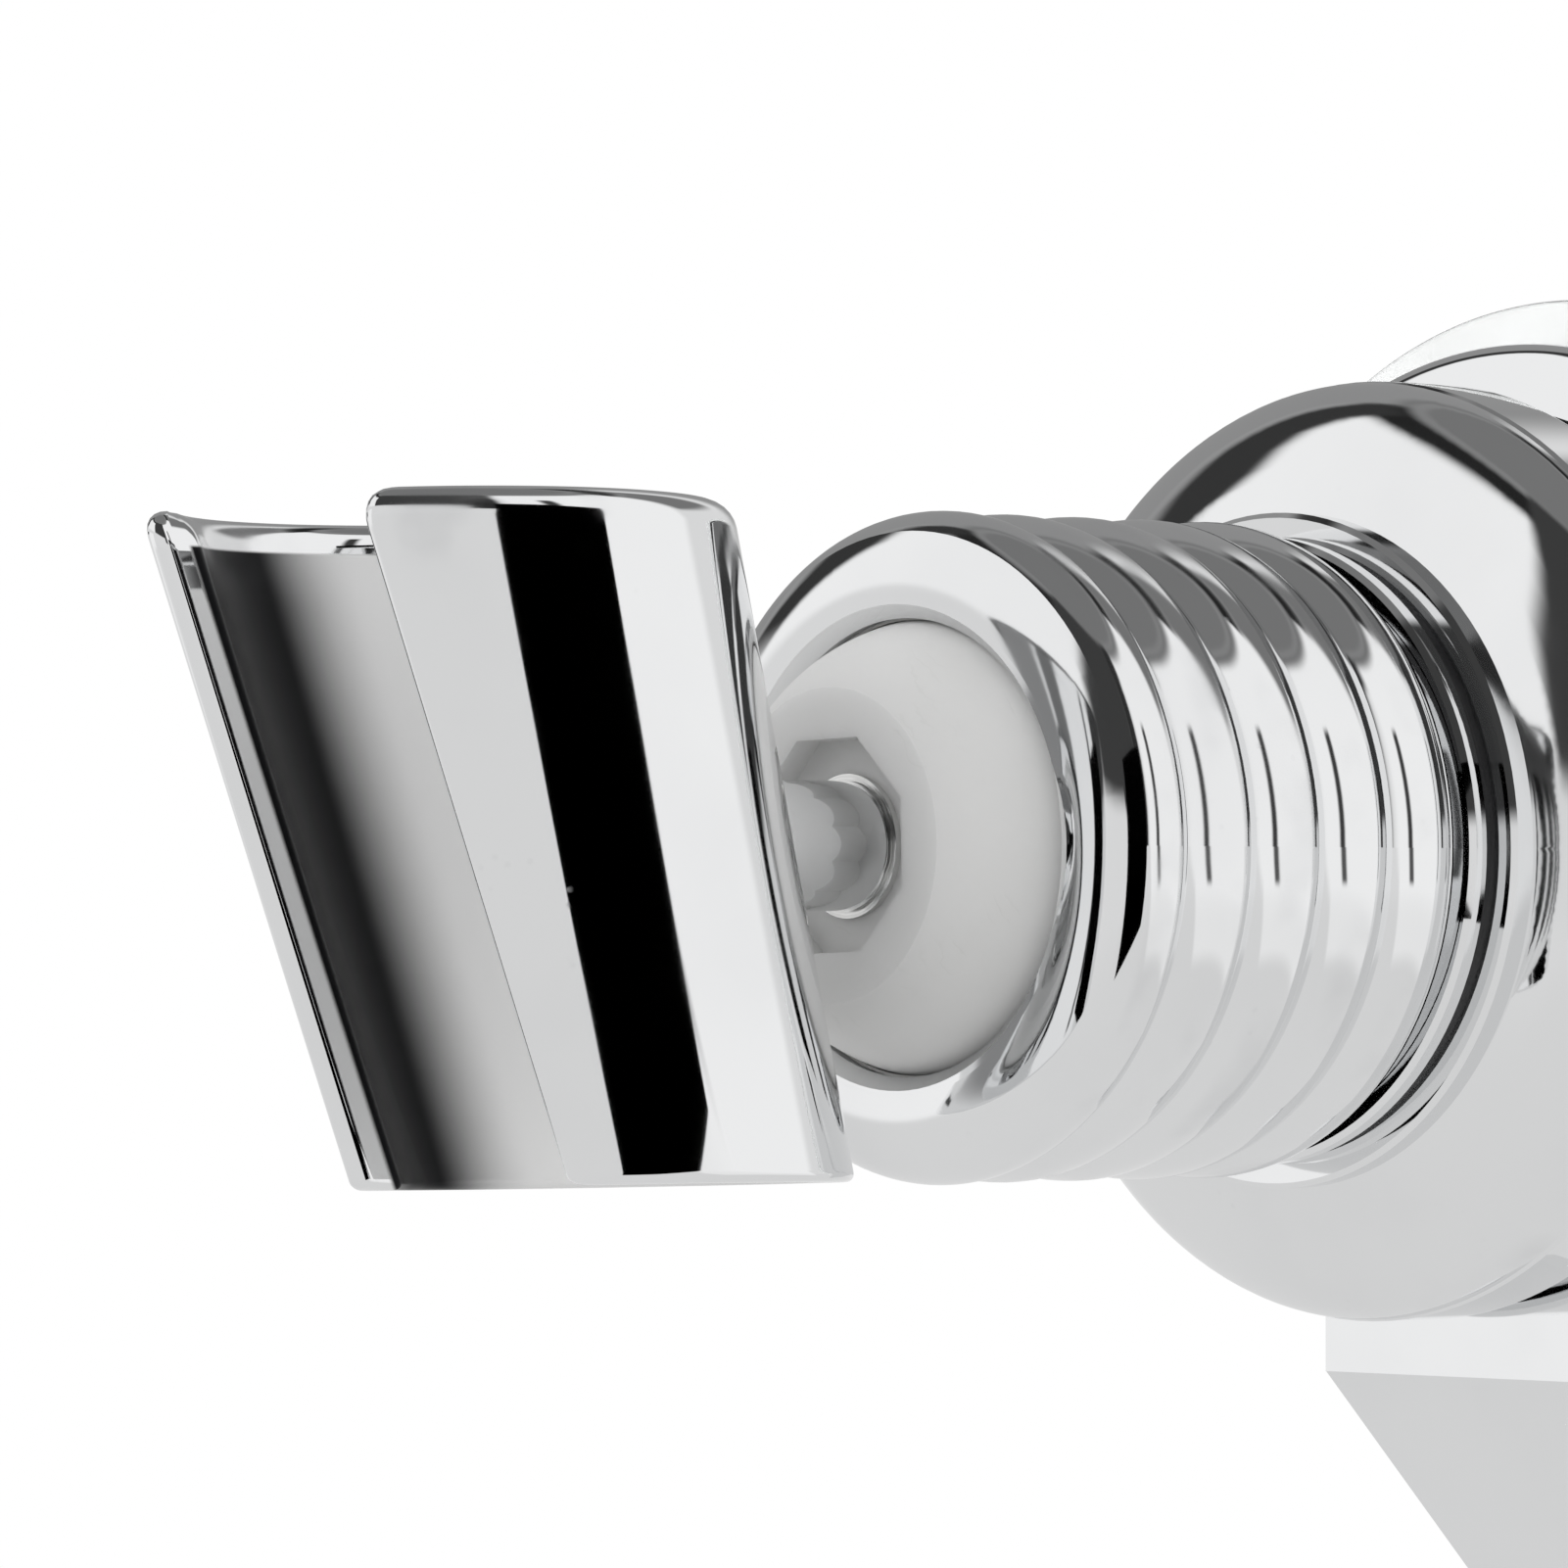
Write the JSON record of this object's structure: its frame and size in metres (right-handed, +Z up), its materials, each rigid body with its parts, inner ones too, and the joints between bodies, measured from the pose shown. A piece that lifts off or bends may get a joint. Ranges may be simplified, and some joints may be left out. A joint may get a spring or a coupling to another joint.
{
  "type": "hand shower holder",
  "caption": "Adjustable hand shower holder: slotted conical cradle on a ball joint, ribbed clamping collar and domed vacuum wall base with a turning lock lever.",
  "frame": {"origin": "centre of the wall face, on the main axis of the base, dome and collar", "axes": "+Y into the wall, the holder stands out along -Y; +Z up; +X to the right seen from in front of the wall"},
  "size_m": [0.0652, 0.0991, 0.0776],
  "materials": {
    "clear_vinyl": "soft clear vinyl, glossy",
    "plated_base": "bright chrome plating over moulded plastic, polished",
    "plated_ring": "bright chrome plating over moulded plastic, polished",
    "plated_dome": "bright chrome plating over moulded plastic, polished",
    "plated_housing": "bright chrome plating over moulded plastic, polished",
    "plated_collar": "bright chrome plating over moulded plastic, polished",
    "plated_cradle": "bright chrome plating over moulded plastic, polished",
    "acetal_white": "moulded acetal, low sheen",
    "acetal_black": "moulded acetal, low sheen",
    "steel_pin": "turned steel",
    "black_rubber": "moulded rubber",
    "steel_spring": "pressed spring steel",
    "nylon_ball": "moulded natural nylon, soft sheen",
    "brass_insert": "turned brass",
    "steel_washer": "pressed and polished steel",
    "steel_screw": "polished steel"
  },
  "bodies": {
    "base": {"suction_disc": "clear_vinyl", "base_plate": "plated_base", "dome_cover": "plated_dome", "housing_washer": "acetal_black", "socket_housing": "plated_housing", "housing_oring": "black_rubber", "disc_spring": "steel_spring", "ball_cup": "acetal_white"},
    "lock": {"lock_ring": "plated_ring", "cam_ring": "acetal_white"},
    "stud": {"pull_stud": "steel_pin", "cross_pin": "steel_pin"},
    "collar": {"collar_nut": "plated_collar"},
    "seat": {"front_seat": "acetal_white"},
    "ball": {"ball": "nylon_ball", "ball_insert": "brass_insert", "stem_washer": "steel_washer"},
    "cradle": {"cradle": "plated_cradle", "cradle_screw": "steel_screw", "end_washer": "steel_washer", "lock_nut": "steel_pin"}
  },
  "joints": [
    {"name": "lock_turn", "type": "hinge", "parent": "base", "child": "lock", "pos_m": [0, -0.0146, 0], "axis": [0, 1, 0], "range_deg": [0, 90]},
    {"name": "stud_slide", "type": "slide", "parent": "base", "child": "stud", "axis": [0, 1, 0], "range_m": [0, 0.0015], "deforming": ["suction_disc"]},
    {"name": "collar_turn", "type": "hinge", "parent": "base", "child": "collar", "pos_m": [0, -0.0408, 0], "axis": [0, -1, 0], "range_deg": [-90, 0]},
    {"name": "seat_turn", "type": "hinge", "parent": "base", "child": "seat", "pos_m": [0, -0.0493, 0], "axis": [0, -1, 0], "range_deg": [-180, 180]},
    {"name": "ball_tilt", "type": "hinge", "parent": "seat", "child": "ball", "pos_m": [0, -0.0493, 0], "axis": [0.9994, 0, 0.0349], "range_deg": [-25.4, 24.6]},
    {"name": "cradle_spin", "type": "hinge", "parent": "ball", "child": "cradle", "pos_m": [0, -0.0615, 0.00009], "axis": [-0.0002, -1, 0.007], "range_deg": [-180, 180]}
  ],
  "couplings": [
    {"joint": "stud_slide", "follows": "lock_turn", "m_per_rad": 0.00095492}
  ]
}
